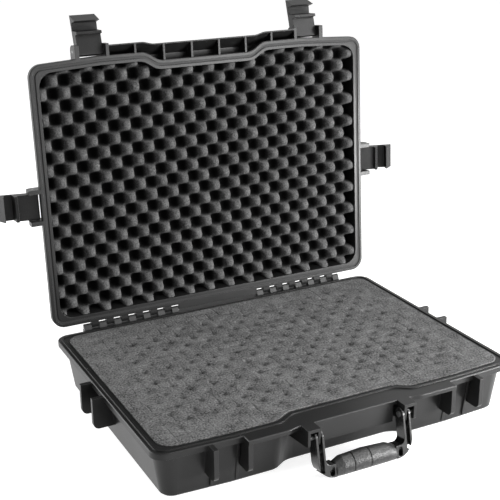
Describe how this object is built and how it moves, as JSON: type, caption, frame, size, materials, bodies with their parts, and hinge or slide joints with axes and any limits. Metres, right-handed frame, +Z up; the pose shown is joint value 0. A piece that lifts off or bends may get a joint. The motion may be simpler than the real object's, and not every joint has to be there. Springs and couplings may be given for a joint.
{
  "type": "laptop hard case",
  "caption": "Open hard case for a laptop: foam-lined base and lid on a rear pin hinge, four lever latches and a folding front handle.",
  "frame": {"origin": "on the ground under the middle of the base's rim outline", "axes": "+X to the right along the hinge, -Y to the front where the handle is, +Z up"},
  "size_m": [0.6153, 0.4819, 0.4943],
  "materials": {
    "shell": "moulded, fine grain, black",
    "latch": "moulded, black",
    "handle": "satin black",
    "grip": "soft overmoulded rubber",
    "seal": "black seal cord",
    "pin": "dark steel",
    "lid_foam": "open-cell foam, convoluted",
    "base_foam": "open-cell foam, scored into cubes"
  },
  "bodies": {
    "base": {"base_shell": "shell", "base_foam_pad": "base_foam", "base_foam_cubed": "base_foam", "hinge_pin_left": "pin", "hinge_pin_right": "pin"},
    "lid": {"lid_shell": "shell", "lid_seal": "seal", "lid_foam": "lid_foam", "latch_pin_front_left": "pin", "latch_pin_front_right": "pin", "latch_pin_side_left": "pin", "latch_pin_side_right": "pin"},
    "latch_front_left": {"latch_front_left": "latch"},
    "latch_front_right": {"latch_front_right": "latch"},
    "latch_side_left": {"latch_side_left": "latch"},
    "latch_side_right": {"latch_side_right": "latch"},
    "handle": {"handle_frame": "handle", "handle_grip": "grip", "handle_pin_left": "pin", "handle_pin_right": "pin"}
  },
  "joints": [
    {"name": "lid_hinge", "type": "hinge", "parent": "base", "child": "lid", "pos_m": [0, 0.1865, 0.0722], "axis": [1, 0, 0], "range_deg": [0, 93.8]},
    {"name": "latch_front_left_hinge", "type": "hinge", "parent": "lid", "child": "latch_front_left", "pos_m": [-0.164, 0.21941, 0.45005], "axis": [1, 0, 0], "range_deg": [-12, 104.6]},
    {"name": "latch_front_right_hinge", "type": "hinge", "parent": "lid", "child": "latch_front_right", "pos_m": [0.164, 0.21941, 0.45005], "axis": [1, 0, 0], "range_deg": [-12, 104.6]},
    {"name": "latch_side_left_hinge", "type": "hinge", "parent": "lid", "child": "latch_side_left", "pos_m": [-0.2595, 0.20618, 0.25079], "axis": [0, 0.0663, 0.9978], "range_deg": [-12, 104.6]},
    {"name": "latch_side_right_hinge", "type": "hinge", "parent": "lid", "child": "latch_side_right", "pos_m": [0.2595, 0.20618, 0.25079], "axis": [0, -0.0663, -0.9978], "range_deg": [-46.6, 70]},
    {"name": "handle_hinge", "type": "hinge", "parent": "base", "child": "handle", "pos_m": [0, -0.205, 0.054], "axis": [-1, 0, 0], "range_deg": [-45, 86]}
  ]
}
